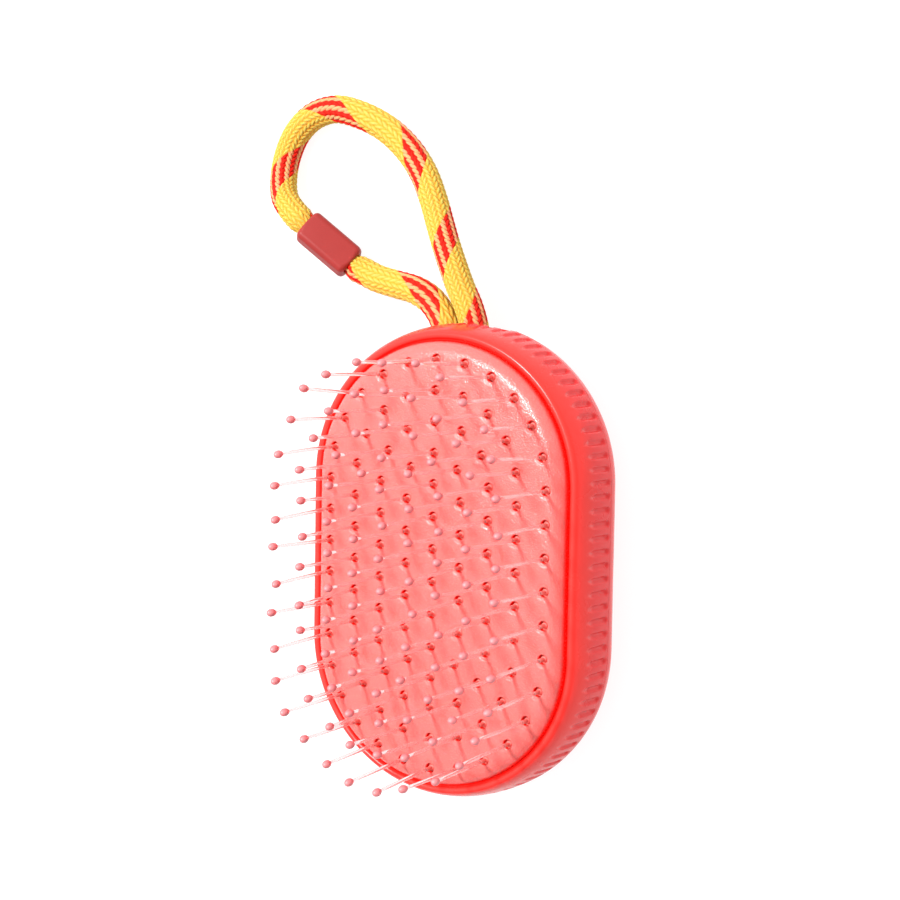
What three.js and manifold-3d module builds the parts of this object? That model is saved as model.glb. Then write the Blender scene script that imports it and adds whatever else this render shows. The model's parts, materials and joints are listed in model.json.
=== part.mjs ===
// A palm brush: ball-tipped pins in a soft cushion, in a pill-shaped shell with a rope loop.
// Millimetres. +Z points out of the pin face, +Y towards the rope, +X to the right of the face.
// The origin is the middle of the flat back. "Pill" means the outline of the body: a straight
// middle with a half circle at each end, drawn at some radius from the straight centre line.
import * as THREE from 'three';
import { mergeGeometries, mergeVertices } from 'three/addons/utils/BufferGeometryUtils.js';
import Module from 'manifold-3d';

const wasm = await Module();
wasm.setup();

const GAP = 0.3; // clearance between pieces that touch
const STRAIGHT = 35.1; // length of the straight middle of every pill outline
const ARC_STEPS = 22; // facets in each half circle of the body's outlines

// Body: its section is given by radius from the pill's centre line and by height.
const BODY_RADIUS = 34.8;
const WIDEST_Z = 10.8;
const RIM_RADIUS = 32.0;
const RIM_Z = 23.4;
const RIM_INNER_RADIUS = 31.2;
const LIP_Z = 20.9; // underside of the rim's lip
const WALL_INNER_RADIUS = 32.4;
const SEAM_Z = 10.5;
const BACK_FLAT_RADIUS = 23.4;
const COVER_THICKNESS = 2.3;
const TONGUE_INNER_RADIUS = 30.9;
const TONGUE_TOP_Z = 12.3;

// Cushion: its top is flat over the pins and its edge rounds down and tucks under the lip.
const PAD_TOP_Z = 26.0;
const PAD_THICKNESS = 1.8;
const PAD_FLAT_RADIUS = 28.0;
const PAD_SKIRT_RADIUS = 30.6;
const PAD_SHOULDER_Z = 22.9;
const PAD_FLANGE_RADIUS = 32.0;
const PAD_FLANGE_BOTTOM_Z = 18.9;
const PAD_HOLE_RADIUS = 1.05;

// Pins: pill-shaped rows round a straight centre row, one pitch along every row.
const ROW_SPACING = 6.7;
const ROW_COUNT = 4;
const STRAIGHT_PITCHES = 5;
const PIN_FOOT_RADIUS = 0.55;
const PIN_NECK_RADIUS = 0.45;
const PIN_BALL_RADIUS = 1.05;
const PIN_BALL_Z = 46.6;
const PIN_SIDES = 6;
const STRIP_WIDTH = 2.2;
const STRIP_HEIGHT = 1.7;

// Pin plate and the screws that hold it to the shell's lugs.
const PLATE_RADIUS = 28.7;
const PLATE_BOTTOM_Z = 19.3;
const PLATE_THICKNESS = 2.6;
const LUG_DISTANCE = 25.0; // from the centre of the end's half circle
const LUG_RADIUS = 3.4;
const LUG_BOTTOM_Z = 12.8;
const SCREW_RADIUS = 1.2;
const SCREW_HEAD_RADIUS = 2.3;
const SCREW_HEAD_HEIGHT = 1.6;

// Rope, and the holder that turns on a pin inside the end of the body.
const ROPE_DIAMETER = 6.6;
const ROPE_SIDES = 10;
const ROPE_STEP = 5.0;
const PIVOT_Y = 37.0;
const PIVOT_RADIUS = 2.0;
const ROPE_LEAN = THREE.MathUtils.degToRad(11); // the loop lies a little to the left
const HOLDER_LENGTH = 7.2; // from the pivot to the face that the rope enters
const HOLDER_THICKNESS = 9.6;
const HOLDER_EYE_RADIUS = 4.4;
const POCKET_FLOOR = 4.0;
const SLOT_WIDTH = 21.6;
const SLOT_HEIGHT = 7.6;

// Ferrule: a rounded block, split in two halves along the rope, turned about its own length.
const FERRULE_LENGTH = 14.2;
const FERRULE_WIDTH = 8.4;
const FERRULE_DEPTH = 6.8;
const FERRULE_BORE_RADIUS = 2.8;
const FERRULE_CENTRE = new THREE.Vector3(-41.3, 70.4, 6.4);
const FERRULE_AXIS = new THREE.Vector3(0.715, -0.632, -0.300).normalize();
const FERRULE_TURN = THREE.MathUtils.degToRad(30);

// The rope's two stretches, from inside the holder to the ferrule's two mouths.
const ROPE_LONG_ROUTE = [
  [2.6, 41.9, 10.5],
  [1.7, 46.5, 10.5],
  [0.6, 51.9, 10.5],
  [-0.9, 56.0, 10.4],
  [-2.9, 59.8, 10.3],
  [-5.3, 64.8, 9.9],
  [-7.6, 69.6, 9.2],
  [-9.8, 74.5, 8.3],
  [-12.3, 80.0, 7.2],
  [-15.7, 86.0, 5.9],
  [-20.4, 91.6, 4.8],
  [-26.9, 96.8, 3.9],
  [-34.4, 100.5, 3.5],
  [-41.9, 102.4, 3.4],
  [-48.2, 101.1, 3.4],
  [-52.8, 97.5, 3.4],
  [-55.3, 92.8, 3.6],
  [-55.9, 87.4, 4.6],
  [-54.3, 82.1, 6.4],
  [-50.5, 78.3, 8.2],
  [-47.5, 75.9, 8.6],
];
const ROPE_SHORT_ROUTE = [
  [-4.2, 40.6, 10.5],
  [-5.1, 45.2, 10.5],
  [-5.8, 49.7, 10.5],
  [-7.5, 53.5, 10.3],
  [-10.7, 57.0, 9.6],
  [-15.6, 59.5, 8.2],
  [-22.6, 61.1, 6.1],
  [-29.0, 62.6, 4.5],
  [-32.5, 64.0, 3.9],
  [-35.0, 65.1, 4.0],
];

const PAD_BOTTOM_Z = PAD_TOP_Z - PAD_THICKNESS;
const PLATE_TOP_Z = PLATE_BOTTOM_Z + PLATE_THICKNESS;
const PIN_PITCH = STRAIGHT / STRAIGHT_PITCHES;
const HOLDER_BOTTOM_Z = SEAM_Z - HOLDER_THICKNESS / 2;
const HOLDER_TOP_Z = SEAM_Z + HOLDER_THICKNESS / 2;
const ROPE_RADIUS = ROPE_DIAMETER / 2;

const SHELL_PLASTIC = { color: 0xf2463f, roughness: 0.32, metalness: 0 };
const CUSHION_RUBBER = { color: 0xff8f88, roughness: 0.45, metalness: 0 };
const PIN_PLASTIC = { color: 0xf0a0a4, roughness: 0.25, metalness: 0 };
const INNER_PLASTIC = { color: 0xd8d4ce, roughness: 0.5, metalness: 0 };
const FERRULE_PLASTIC = { color: 0xcd504e, roughness: 0.55, metalness: 0 };
const ROPE_FIBRE = { color: 0xf6cf52, roughness: 0.9, metalness: 0 };
const STEEL = { color: 0xb9bcc0, roughness: 0.35, metalness: 1 };

// A geometry with shared vertices, no empty triangles, and its faces pointing out.
function closed(geometry) {
  const bare = new THREE.BufferGeometry();
  bare.setAttribute('position', geometry.attributes.position);
  bare.setIndex(geometry.index);
  const merged = mergeVertices(bare, 1e-4);
  const position = merged.attributes.position;
  const kept = [];
  let volume = 0;
  const corner = [new THREE.Vector3(), new THREE.Vector3(), new THREE.Vector3()];
  for (let i = 0; i < merged.index.count; i += 3) {
    const triangle = [0, 1, 2].map((k) => merged.index.getX(i + k));
    if (new Set(triangle).size === 3) {
      kept.push(...triangle);
      corner.forEach((point, k) => point.fromBufferAttribute(position, triangle[k]));
      volume += corner[0].dot(corner[1].clone().cross(corner[2]));
    }
  }
  merged.setIndex(volume < 0 ? kept.reverse() : kept);
  return merged;
}

function solid(geometry) {
  const body = closed(geometry);
  const mesh = new wasm.Mesh({
    numProp: 3,
    vertProperties: new Float32Array(body.attributes.position.array),
    triVerts: new Uint32Array(body.index.array),
  });
  return new wasm.Manifold(mesh);
}

function geometryOf(manifold) {
  const mesh = manifold.getMesh();
  const geometry = new THREE.BufferGeometry();
  geometry.setAttribute('position', new THREE.BufferAttribute(mesh.vertProperties, 3));
  geometry.setIndex(new THREE.BufferAttribute(mesh.triVerts, 1));
  return geometry;
}

// Several bodies that don't touch, as one geometry.
function together(geometries) {
  return mergeGeometries(geometries.map(closed));
}

// The point at a step of a pill outline: up the right end's half circle, and on round.
function pillPoint(step, radius, arcSteps, straightSteps) {
  const half = STRAIGHT / 2;
  const lap = 2 * (arcSteps + straightSteps);
  const k = ((step % lap) + lap) % lap;
  const upper = k <= arcSteps + straightSteps;
  const along = upper ? k : k - arcSteps - straightSteps;
  const side = upper ? 1 : -1;
  if (along <= arcSteps) {
    const angle = (Math.PI * along) / arcSteps;
    return new THREE.Vector2(side * radius * Math.cos(angle), side * (half + radius * Math.sin(angle)));
  }
  const run = (along - arcSteps) / straightSteps;
  return new THREE.Vector2(-side * radius, side * (half - run * STRAIGHT));
}

// A profile of [radius, height] points carried round the pill outline. It closes on itself, or
// starts and ends on the centre line.
function pill(profile, arcSteps = ARC_STEPS, straightSteps = 2) {
  const points = profile.map(([radius, height]) => new THREE.Vector2(radius, height));
  const geometry = new THREE.LatheGeometry(points, 2 * (arcSteps + straightSteps));
  const position = geometry.attributes.position;
  for (let i = 0; i < position.count; i += 1) {
    const { x: radius, y: height } = points[i % points.length];
    const place = pillPoint(Math.floor(i / points.length), radius, arcSteps, straightSteps);
    position.setXYZ(i, place.x, place.y, height);
  }
  return geometry;
}

function ring(profile, arcSteps) {
  return pill([...profile, profile[0]], arcSteps);
}

function pillOutline(radius) {
  return Array.from({ length: 2 * (ARC_STEPS + 2) }, (_, step) => pillPoint(step, radius, ARC_STEPS, 2));
}

// Points of a quarter ellipse or part of one, from one angle to another in degrees.
function arc([centreRadius, centreZ], [acrossRadius, upZ], from, to, steps) {
  return Array.from({ length: steps + 1 }, (_, i) => {
    const angle = THREE.MathUtils.degToRad(from + ((to - from) * i) / steps);
    return [centreRadius + acrossRadius * Math.cos(angle), centreZ + upZ * Math.sin(angle)];
  });
}

function box(low, high) {
  const size = high.map((value, i) => value - low[i]);
  const geometry = new THREE.BoxGeometry(...size);
  return geometry.translate(...low.map((value, i) => value + size[i] / 2));
}

// An upright cylinder on the plan point [x, y], from one height to another.
function post([x, y], radius, bottom, top, sides = 16) {
  const geometry = new THREE.CylinderGeometry(radius, radius, top - bottom, sides);
  return geometry.rotateX(Math.PI / 2).translate(x, y, (bottom + top) / 2);
}

// A rectangle with rounded corners, round its own middle.
function roundedRectangle(width, height, corner) {
  const x = width / 2;
  const y = height / 2;
  const shape = new THREE.Shape();
  shape.absarc(x - corner, y - corner, corner, 0, Math.PI / 2);
  shape.absarc(corner - x, y - corner, corner, Math.PI / 2, Math.PI);
  shape.absarc(corner - x, corner - y, corner, Math.PI, 1.5 * Math.PI);
  shape.absarc(x - corner, corner - y, corner, 1.5 * Math.PI, 2 * Math.PI);
  return shape;
}

// A rounded slot that runs along +Y from one place to another, at the height of the seam.
function slotTool(width, height, from, to, centreZ) {
  const shape = roundedRectangle(width, height, height / 2 - 0.01);
  const geometry = new THREE.ExtrudeGeometry(shape, {
    depth: to - from,
    bevelEnabled: false,
    curveSegments: 3,
  });
  return geometry.rotateX(Math.PI / 2).translate(0, to, centreZ);
}

// The four screw places, one towards each corner.
function lugPlaces() {
  const x = LUG_DISTANCE * Math.SQRT1_2;
  const y = STRAIGHT / 2 + x;
  return [[x, y], [-x, y], [-x, -y], [x, -y]];
}

// A lug under the plate with a rib out to the wall.
function lug([x, y]) {
  const column = solid(post([x, y], LUG_RADIUS, LUG_BOTTOM_Z, PLATE_BOTTOM_Z - GAP));
  const reach = WALL_INNER_RADIUS + 0.8 - LUG_DISTANCE;
  const rib = box([0, -2, LUG_BOTTOM_Z], [reach, 2, PAD_FLANGE_BOTTOM_Z - GAP - 0.1]);
  rib.rotateZ(Math.atan2(Math.sign(y), Math.sign(x))).translate(x, y, 0);
  return column.add(solid(rib));
}

function ropeSlot() {
  return solid(slotTool(SLOT_WIDTH, SLOT_HEIGHT, STRAIGHT / 2 + 28.5, STRAIGHT / 2 + 38, SEAM_Z));
}

function frontShell() {
  const wall = ring([
    [BODY_RADIUS, SEAM_Z + GAP / 2],
    ...arc([RIM_RADIUS, WIDEST_Z], [BODY_RADIUS - RIM_RADIUS, RIM_Z - WIDEST_Z], 0, 90, 7),
    [RIM_INNER_RADIUS + 0.25, RIM_Z - 0.2],
    [RIM_INNER_RADIUS, RIM_Z - 0.6],
    [RIM_INNER_RADIUS, LIP_Z],
    [WALL_INNER_RADIUS, LIP_Z],
    [WALL_INNER_RADIUS, SEAM_Z + GAP / 2],
  ]);
  const shelfTop = PAD_FLANGE_BOTTOM_Z - 0.5;
  const shelf = box([-6, PIVOT_Y - 5, HOLDER_TOP_Z + GAP + 0.1], [6, STRAIGHT / 2 + 32.7, shelfTop]);
  let shell = solid(wall).add(solid(shelf));
  for (const place of lugPlaces()) {
    shell = shell.add(lug(place));
  }
  const screwHoles = lugPlaces().map((place) => post(place, SCREW_RADIUS + GAP, 0, PLATE_TOP_Z));
  const pivotBore = post([0, PIVOT_Y], PIVOT_RADIUS + GAP, SEAM_Z, shelfTop - 0.5);
  return geometryOf(shell.subtract(solid(together([...screwHoles, pivotBore]))).subtract(ropeSlot()));
}

function backCover() {
  const dish = pill([
    [0, 0],
    ...arc([BACK_FLAT_RADIUS, WIDEST_Z], [BODY_RADIUS - BACK_FLAT_RADIUS, WIDEST_Z], -90, -2.4, 7),
    [WALL_INNER_RADIUS - GAP, SEAM_Z - GAP / 2],
    [WALL_INNER_RADIUS - GAP, TONGUE_TOP_Z],
    [TONGUE_INNER_RADIUS, TONGUE_TOP_Z],
    ...arc(
      [BACK_FLAT_RADIUS, WIDEST_Z],
      [TONGUE_INNER_RADIUS - BACK_FLAT_RADIUS, WIDEST_Z - COVER_THICKNESS],
      0,
      -90,
      4,
    ),
    [0, COVER_THICKNESS],
  ]);
  const boss = post([0, PIVOT_Y], 4, COVER_THICKNESS - 1, HOLDER_BOTTOM_Z - GAP - 0.1, 24);
  const bore = post([0, PIVOT_Y], PIVOT_RADIUS + GAP, COVER_THICKNESS + 0.7, SEAM_Z);
  return geometryOf(solid(dish).add(solid(boss)).subtract(solid(bore)).subtract(ropeSlot()));
}

// Every pin's place in one row. Rows take turns to start half a pitch later.
function pinPlaces(row) {
  if (row === 0) {
    return Array.from({ length: STRAIGHT_PITCHES + 1 }, (_, i) => [0, STRAIGHT / 2 - i * PIN_PITCH]);
  }
  const arcSteps = 3 * row;
  const offset = row % 2 ? 0.5 : 0;
  return Array.from({ length: 2 * (arcSteps + STRAIGHT_PITCHES) }, (_, i) => {
    const place = pillPoint(i + offset, row * ROW_SPACING, arcSteps, STRAIGHT_PITCHES);
    return [place.x, place.y];
  });
}

function pin([x, y], footZ) {
  const profile = [
    [0, footZ],
    [PIN_FOOT_RADIUS, footZ],
    [PIN_NECK_RADIUS, PIN_BALL_Z - 0.9],
    [PIN_BALL_RADIUS, PIN_BALL_Z],
    [0, PIN_BALL_Z + PIN_BALL_RADIUS],
  ];
  const points = profile.map(([radius, height]) => new THREE.Vector2(radius, height));
  return new THREE.LatheGeometry(points, PIN_SIDES).rotateX(Math.PI / 2).translate(x, y, 0);
}

// One row of pins, moulded on the strip that joins their feet under the cushion.
function pinRow(row) {
  const bottom = PLATE_TOP_Z + GAP;
  const top = bottom + STRIP_HEIGHT;
  const middle = row * ROW_SPACING;
  const outer = middle + STRIP_WIDTH / 2;
  const inner = middle - STRIP_WIDTH / 2;
  const strip = row === 0
    ? pill([[0, bottom], [outer, bottom], [outer, top], [0, top]], 6)
    : ring([[inner, bottom], [outer, bottom], [outer, top], [inner, top]], 12);
  const pins = pinPlaces(row).map((place) => pin(place, bottom + 0.6));
  return geometryOf(solid(strip).add(solid(together(pins))));
}

function pinHole([x, y]) {
  const corners = Array.from({ length: PIN_SIDES }, (_, i) => {
    const angle = (-2 * Math.PI * i) / PIN_SIDES;
    return new THREE.Vector2(x + PAD_HOLE_RADIUS * Math.cos(angle), y + PAD_HOLE_RADIUS * Math.sin(angle));
  });
  return new THREE.Path(corners);
}

function cushionPad() {
  const face = new THREE.Shape(pillOutline(PAD_FLAT_RADIUS));
  for (let row = 0; row <= ROW_COUNT; row += 1) {
    face.holes.push(...pinPlaces(row).map(pinHole));
  }
  const sheet = new THREE.ExtrudeGeometry(face, { depth: PAD_THICKNESS, bevelEnabled: false });
  sheet.translate(0, 0, PAD_BOTTOM_Z);
  const inside = PAD_FLAT_RADIUS - 0.06;
  const skirtInner = PAD_SKIRT_RADIUS - 1.5;
  const edge = ring([
    ...arc([inside, PAD_SHOULDER_Z], [PAD_SKIRT_RADIUS - inside, PAD_TOP_Z - PAD_SHOULDER_Z], 90, 0, 4),
    [PAD_SKIRT_RADIUS, LIP_Z - GAP],
    [PAD_FLANGE_RADIUS, LIP_Z - GAP],
    [PAD_FLANGE_RADIUS, PAD_FLANGE_BOTTOM_Z],
    [skirtInner, PAD_FLANGE_BOTTOM_Z],
    ...arc([inside, PAD_SHOULDER_Z], [skirtInner - inside, PAD_BOTTOM_Z - PAD_SHOULDER_Z], 0, 90, 2),
  ]);
  return geometryOf(solid(sheet).add(solid(edge)));
}

function pinPlate() {
  const plate = pill([
    [0, PLATE_BOTTOM_Z],
    [PLATE_RADIUS, PLATE_BOTTOM_Z],
    [PLATE_RADIUS, PLATE_TOP_Z],
    [0, PLATE_TOP_Z],
  ]);
  const screwHoles = lugPlaces().map((place) => post(place, SCREW_RADIUS + GAP, 0, PLATE_TOP_Z - 0.6, 12));
  return geometryOf(solid(plate).subtract(solid(together(screwHoles))));
}

// A pan-head screw that points up, its head against the underside of a lug.
function plateScrew() {
  const headTop = LUG_BOTTOM_Z - GAP;
  const points = [
    [0, headTop - SCREW_HEAD_HEIGHT],
    [SCREW_HEAD_RADIUS * 0.7, headTop - SCREW_HEAD_HEIGHT],
    [SCREW_HEAD_RADIUS, headTop - SCREW_HEAD_HEIGHT * 0.6],
    [SCREW_HEAD_RADIUS, headTop],
    [SCREW_RADIUS, headTop],
    [SCREW_RADIUS, PLATE_TOP_Z - 1.6],
    [0, PLATE_TOP_Z - 0.9],
  ].map(([radius, height]) => new THREE.Vector2(radius, height));
  return new THREE.LatheGeometry(points, 10).rotateX(Math.PI / 2);
}

// The holder's plan: an eye round the pivot at the origin, widening to the pocket for the rope.
function ropeHolder() {
  const pocketWidth = 2 * ROPE_DIAMETER + 3 * GAP;
  const half = pocketWidth / 2 + 1.2;
  const start = THREE.MathUtils.degToRad(-15);
  const plan = new THREE.Shape();
  plan.moveTo(-half, HOLDER_LENGTH);
  plan.lineTo(-half, POCKET_FLOOR);
  plan.absarc(0, 0, HOLDER_EYE_RADIUS, Math.PI - start, 2 * Math.PI + start, false);
  plan.lineTo(half, POCKET_FLOOR);
  plan.lineTo(half, HOLDER_LENGTH);
  const block = new THREE.ExtrudeGeometry(plan, {
    depth: HOLDER_THICKNESS,
    bevelEnabled: false,
    curveSegments: 6,
  });
  block.translate(0, 0, HOLDER_BOTTOM_Z);
  const bore = post([0, 0], PIVOT_RADIUS + GAP, 0, RIM_Z);
  const pocket = slotTool(pocketWidth, ROPE_DIAMETER + 2 * GAP, POCKET_FLOOR, HOLDER_LENGTH + 1, SEAM_Z);
  return geometryOf(solid(block).subtract(solid(bore)).subtract(solid(pocket)));
}

function pivotPin() {
  const bottom = COVER_THICKNESS + 0.7 + GAP;
  const top = PAD_FLANGE_BOTTOM_Z - 1 - GAP;
  return post([0, PIVOT_Y], PIVOT_RADIUS, bottom, top);
}

function ropeTube(route) {
  const section = new THREE.Shape();
  section.absarc(0, 0, ROPE_RADIUS, 0, 2 * Math.PI);
  const path = new THREE.CatmullRomCurve3(route.map((point) => new THREE.Vector3(...point)));
  return new THREE.ExtrudeGeometry(section, {
    steps: Math.round(path.getLength() / ROPE_STEP),
    curveSegments: ROPE_SIDES / 2, // of each half turn
    bevelEnabled: false,
    extrudePath: path,
  });
}

// Half of the ferrule round the origin: its length along X, its wide face towards +Z or -Z.
function ferruleHalf(side) {
  const rounding = 1.3;
  const plan = roundedRectangle(FERRULE_LENGTH - 2 * rounding, FERRULE_WIDTH - 2 * rounding, 0.7);
  const block = new THREE.ExtrudeGeometry(plan, {
    depth: FERRULE_DEPTH - 2 * rounding,
    bevelThickness: rounding,
    bevelSize: rounding,
    bevelSegments: 2,
    curveSegments: 2,
  });
  block.translate(0, 0, rounding - FERRULE_DEPTH / 2);
  const length = FERRULE_LENGTH;
  const bore = new THREE.CylinderGeometry(FERRULE_BORE_RADIUS, FERRULE_BORE_RADIUS, 2 * length, 16);
  bore.rotateZ(Math.PI / 2);
  const cut = -side * (GAP / 2);
  const away = side > 0
    ? box([-length, -length, -length], [length, length, -cut])
    : box([-length, -length, -cut], [length, length, length]);
  return geometryOf(solid(block).subtract(solid(bore)).subtract(solid(away)));
}

function ferruleGroup() {
  const across = new THREE.Vector3(0, 0, 1).cross(FERRULE_AXIS).normalize();
  const up = FERRULE_AXIS.clone().cross(across).applyAxisAngle(FERRULE_AXIS, -FERRULE_TURN);
  const group = new THREE.Group();
  group.quaternion.setFromRotationMatrix(
    new THREE.Matrix4().makeBasis(FERRULE_AXIS, up.clone().cross(FERRULE_AXIS), up),
  );
  group.position.copy(FERRULE_CENTRE);
  return group;
}

function piece(name, geometry, look) {
  const mesh = new THREE.Mesh(geometry, new THREE.MeshStandardMaterial(look));
  mesh.name = name;
  return mesh;
}

function makeBrush() {
  const brush = new THREE.Group();
  brush.add(piece('front_shell', frontShell(), SHELL_PLASTIC));
  brush.add(piece('back_cover', backCover(), SHELL_PLASTIC));
  brush.add(piece('cushion_pad', cushionPad(), CUSHION_RUBBER));
  brush.add(piece('pin_plate', pinPlate(), INNER_PLASTIC));
  brush.add(piece('pin_row_centre', pinRow(0), PIN_PLASTIC));
  for (let row = 1; row <= ROW_COUNT; row += 1) {
    brush.add(piece(`pin_ring_${row}`, pinRow(row), PIN_PLASTIC));
  }
  lugPlaces().forEach(([x, y], i) => {
    const screw = piece(`plate_screw_${i + 1}`, plateScrew(), STEEL);
    screw.position.set(x, y, 0);
    brush.add(screw);
  });
  brush.add(piece('pivot_pin', pivotPin(), STEEL));

  const holder = piece('rope_holder', ropeHolder(), INNER_PLASTIC);
  holder.position.set(0, PIVOT_Y, 0);
  holder.rotation.z = ROPE_LEAN;
  brush.add(holder);
  brush.add(piece('rope_long', ropeTube(ROPE_LONG_ROUTE), ROPE_FIBRE));
  brush.add(piece('rope_short', ropeTube(ROPE_SHORT_ROUTE), ROPE_FIBRE));
  const ferrule = ferruleGroup();
  ferrule.add(piece('ferrule_front', ferruleHalf(1), FERRULE_PLASTIC));
  ferrule.add(piece('ferrule_back', ferruleHalf(-1), FERRULE_PLASTIC));
  brush.add(ferrule);
  return brush;
}

export default makeBrush();
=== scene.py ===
# A palm pin brush: a fluted coral shell, a soft cushion with ball-tipped pins, and a rope loop.
# Everything is in metres, in the CAD model's frame: the brush lies on its back, with its pins
# towards +Z and its rope towards +Y. "Pill" means the outline of the body: a straight middle
# with a half circle at each end, drawn at some radius from the straight centre line.
import json
import math
import random

import bmesh
import bpy
import numpy as np
from mathutils import Matrix, Vector
from mathutils.geometry import delaunay_2d_cdt


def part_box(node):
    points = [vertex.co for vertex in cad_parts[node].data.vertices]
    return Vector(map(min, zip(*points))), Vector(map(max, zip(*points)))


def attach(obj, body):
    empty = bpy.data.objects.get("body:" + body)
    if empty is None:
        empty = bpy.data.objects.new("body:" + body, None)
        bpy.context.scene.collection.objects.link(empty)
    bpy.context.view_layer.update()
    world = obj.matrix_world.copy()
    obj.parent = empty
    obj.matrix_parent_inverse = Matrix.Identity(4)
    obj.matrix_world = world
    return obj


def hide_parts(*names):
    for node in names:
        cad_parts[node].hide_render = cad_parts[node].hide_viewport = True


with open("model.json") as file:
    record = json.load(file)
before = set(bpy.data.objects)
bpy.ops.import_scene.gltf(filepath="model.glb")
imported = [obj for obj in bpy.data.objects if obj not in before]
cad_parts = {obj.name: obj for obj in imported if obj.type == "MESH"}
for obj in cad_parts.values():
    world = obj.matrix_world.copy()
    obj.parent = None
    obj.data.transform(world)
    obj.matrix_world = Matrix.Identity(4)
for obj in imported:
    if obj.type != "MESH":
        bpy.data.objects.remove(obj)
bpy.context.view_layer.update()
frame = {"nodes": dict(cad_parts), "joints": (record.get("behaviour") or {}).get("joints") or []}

# Sizes that the frame gives.
SHELL_LOW, SHELL_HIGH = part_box("front_shell")
BODY_RADIUS = SHELL_HIGH.x
HALF_STRAIGHT = -SHELL_LOW.y - BODY_RADIUS
RIM_TOP = SHELL_HIGH.z
PAD_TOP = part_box("cushion_pad")[1].z
PAD_FLANGE_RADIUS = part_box("cushion_pad")[1].x
PAD_FLANGE_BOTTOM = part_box("cushion_pad")[0].z
PIN_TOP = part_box("pin_ring_4")[1].z
STRIP_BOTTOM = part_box("pin_ring_4")[0].z
PIVOT_Y = frame["joints"][0]["pos_m"][1]

# Body sections, by radius from the pill's centre line and by height.
WIDEST_Z = 0.0108
RIM_RADIUS = 0.0320
RIM_INNER_RADIUS = 0.0312
GROOVE_INNER_RADIUS = 0.03075
GROOVE_Z = 0.0224
LIP_Z = 0.0209
WALL_INNER_RADIUS = 0.0324
SEAM_Z = 0.0105
SEAM_GAP = 0.00012
LEDGE_THICKNESS = 0.0011
LEDGE_BEVEL = 0.0003
BACK_FLAT_RADIUS = 0.0234
COVER_THICKNESS = 0.0023
TONGUE_OUTER_RADIUS = 0.0321
TONGUE_INNER_RADIUS = 0.0309
TONGUE_TOP_Z = 0.0123
SLOT_WIDTH = 0.0216
SLOT_HEIGHT = 0.0076
OVERLAP = 0.0003

# Inside the shells: screw lugs, the shelf for the rope's pivot pin, and the boss below it.
LUG_DISTANCE = 0.0250
LUG_RADIUS = 0.0034
LUG_HOLE_RADIUS = 0.0015
LUG_BOTTOM_Z = 0.0128
LUG_TOP_Z = 0.0190
SHELF_HALF_WIDTH = 0.0060
SHELF_INWARD = 0.0050
SHELF_BOTTOM_Z = 0.0157
SHELF_TOP_Z = 0.0184
PIVOT_HOLE_RADIUS = 0.0023
BOSS_RADIUS = 0.0040
BOSS_BOTTOM_Z = COVER_THICKNESS - 0.0005
BOSS_TOP_Z = 0.0053

# Flutes: scoops down the side wall, side by side. The fill narrows each one across, the
# sharpness makes it deep sooner below its point, and the softness rounds its edges.
FLUTES_ROUND_END = 38
FLUTES_ALONG_SIDE = 12
FLUTE_STEPS = 16
FLUTE_TOP_Z = 0.0199
FLUTE_DEEPEST_Z = 0.0143
FLUTE_BOTTOM_Z = 0.0109
FLUTE_CLOSING = 0.0014
FLUTE_DEPTH = 0.00056
FLUTE_FILL = 3.4
FLUTE_SHARPNESS = 1.8
FLUTE_SOFTNESS = 0.00003
FLUTE_ROWS = 28
RIM_ROWS = 14
FLUTE_ROWS_TOP_Z = FLUTE_TOP_Z - 0.0010

# Cushion.
PAD_UNDERSIDE = PAD_TOP - 0.0018
PAD_UNDERSIDE_RADIUS = 0.0280
PAD_CROWN = 0.0004
PAD_FLAT_RADIUS = 0.0270
PAD_EDGE_RADIUS = 0.0299
PAD_SKIRT_RADIUS = 0.0306
PAD_SHOULDER_Z = 0.0229
SHOULDER_LINES_FROM = 0.0262
SHOULDER_LINES = 10
PAD_SKIRT_THICKNESS = 0.0015
PAD_LIP_GAP = 0.0003
PIN_HOLE_RADIUS = 0.00107
HOLE_LIP = 0.00015
HOLE_STEPS = 24
DIMPLE_INNER_RADIUS = 0.0014
DIMPLE_RADIUS = 0.00205
DIMPLE_DEPTH = 0.00009
DIMPLE_RINGS = 7
DIMPLE_CLEARANCE = 0.0002
DIMPLES_END = (0.0273, 0.0283)

# Pins.
PIN_SIDES = 12
ROW_SPACING = 0.0067
ROW_COUNT = 4
STRAIGHT_PITCHES = 5
PIN_BASE_RADIUS = 0.00070
PIN_BASE_DEPTH = 0.0006
PIN_BASE_ROUNDING = 0.00032
PIN_FOOT_RADIUS = 0.00042
PIN_NECK_RADIUS = 0.00036
BALL_RADIUS = 0.00086
BALL_HALF_LENGTH = 0.00125
PIN_WANDER = 0.00040
STRIP_WIDTH = 0.0022
STRIP_HEIGHT = 0.0017
STRIP_BEVEL = 0.0003
PIN_ROOT_Z = STRIP_BOTTOM + STRIP_HEIGHT - 0.0006
BALL_LOOK_Z = (PIN_TOP - 0.0027, PIN_TOP - 0.0023)
SHAFT_LOOK_Z = (PAD_TOP + 0.0005, PAD_TOP + 0.0090)
FOOT_LOOK_Z = (PAD_TOP + 0.0020, PAD_TOP + 0.0006)

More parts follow.
